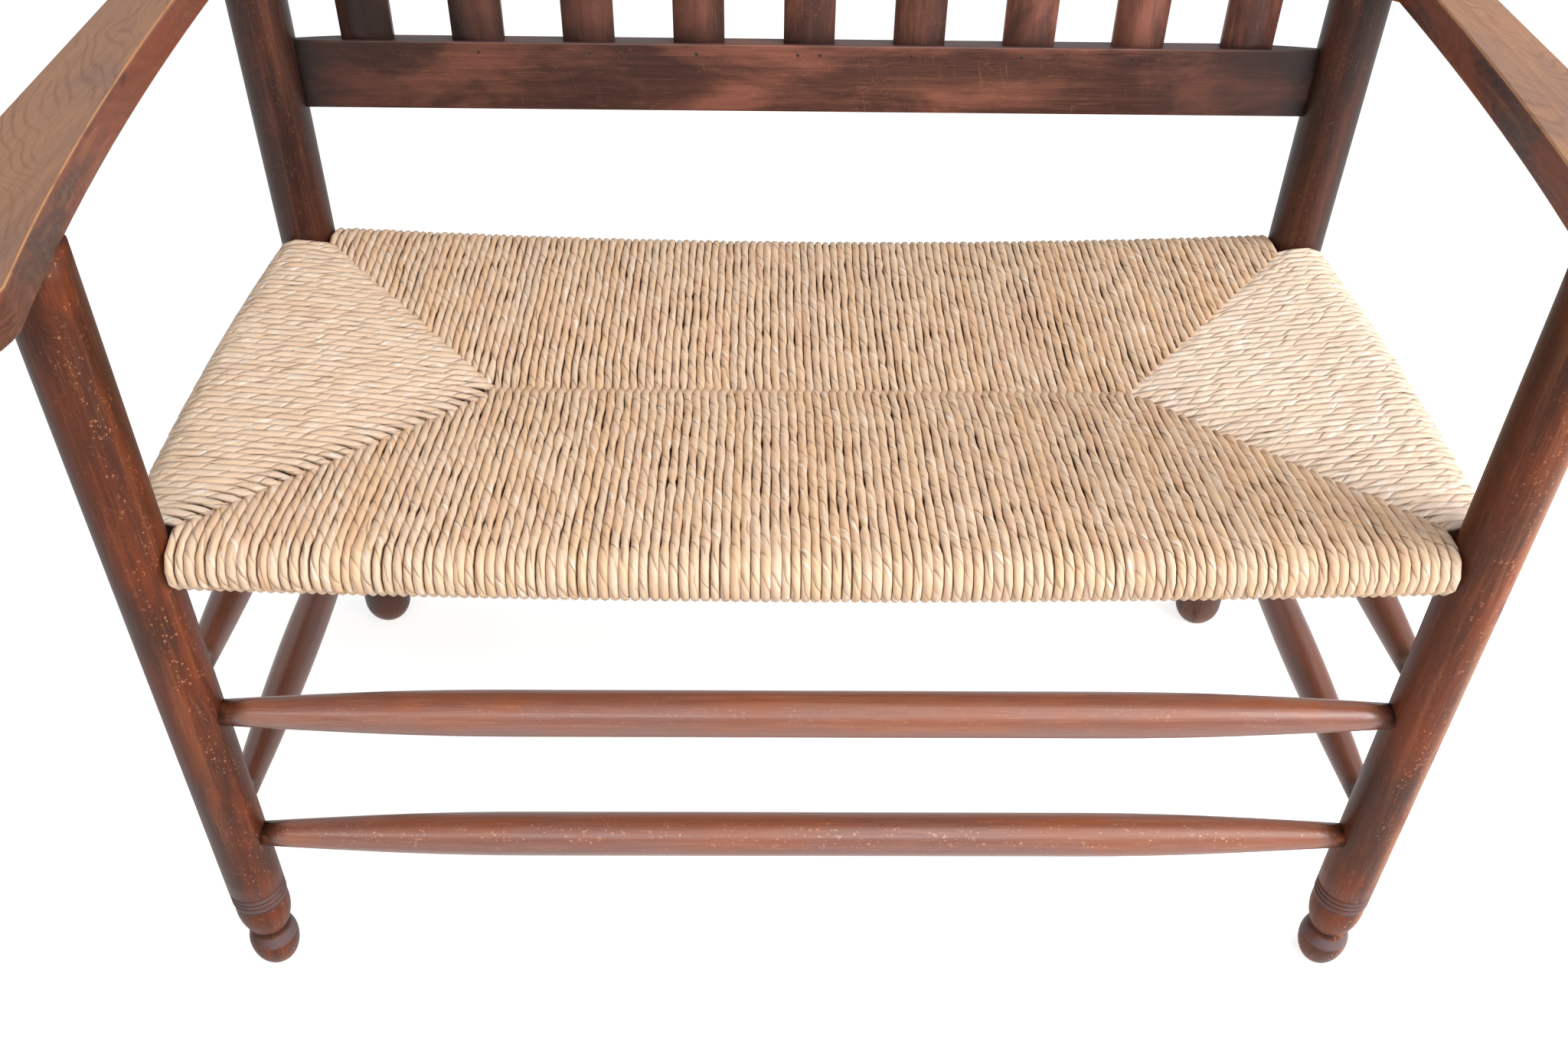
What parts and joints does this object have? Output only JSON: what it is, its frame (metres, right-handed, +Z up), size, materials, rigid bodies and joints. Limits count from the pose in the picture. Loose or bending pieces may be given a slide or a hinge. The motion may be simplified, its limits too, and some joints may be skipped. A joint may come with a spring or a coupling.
{
  "type": "rush seat settee",
  "caption": "Wide settee with turned front legs, round back posts, flat arms, a slatted back and a woven rush seat over round rails.",
  "frame": {"origin": "middle of the settee's bounding box, on the floor", "axes": "+X to the right of someone facing the front, +Y to the back, +Z up"},
  "size_m": [0.998, 0.5756, 1.092],
  "materials": {
    "leg_wood": "satin reddish chestnut varnish, worn",
    "post_wood": "dark reddish brown varnish, scratched",
    "stretcher_wood": "satin chestnut varnish with pale flecks",
    "arm_wood": "walnut brown, open grain, rubbed edges",
    "back_wood": "near black brown varnish, worn arrises",
    "rail_wood": "plain unvarnished wood",
    "rush": "twisted straw-coloured cord"
  },
  "bodies": {
    "root": {"front_leg_left": "leg_wood", "front_leg_right": "leg_wood", "back_post_left": "post_wood", "back_post_right": "post_wood", "front_stretcher_upper": "stretcher_wood", "front_stretcher_lower": "stretcher_wood", "rear_stretcher": "stretcher_wood", "left_stretcher_upper": "stretcher_wood", "left_stretcher_lower": "stretcher_wood", "right_stretcher_upper": "stretcher_wood", "right_stretcher_lower": "stretcher_wood", "front_seat_rail": "rail_wood", "rear_seat_rail": "rail_wood", "left_seat_rail": "rail_wood", "right_seat_rail": "rail_wood", "rush_seat": "rush", "arm_left": "arm_wood", "arm_right": "arm_wood", "lower_back_rail": "back_wood", "upper_back_rail": "back_wood", "slat_1": "back_wood", "slat_2": "back_wood", "slat_3": "back_wood", "slat_4": "back_wood", "slat_5": "back_wood", "slat_6": "back_wood", "slat_7": "back_wood", "slat_8": "back_wood", "slat_9": "back_wood"}
  },
  "joints": []
}
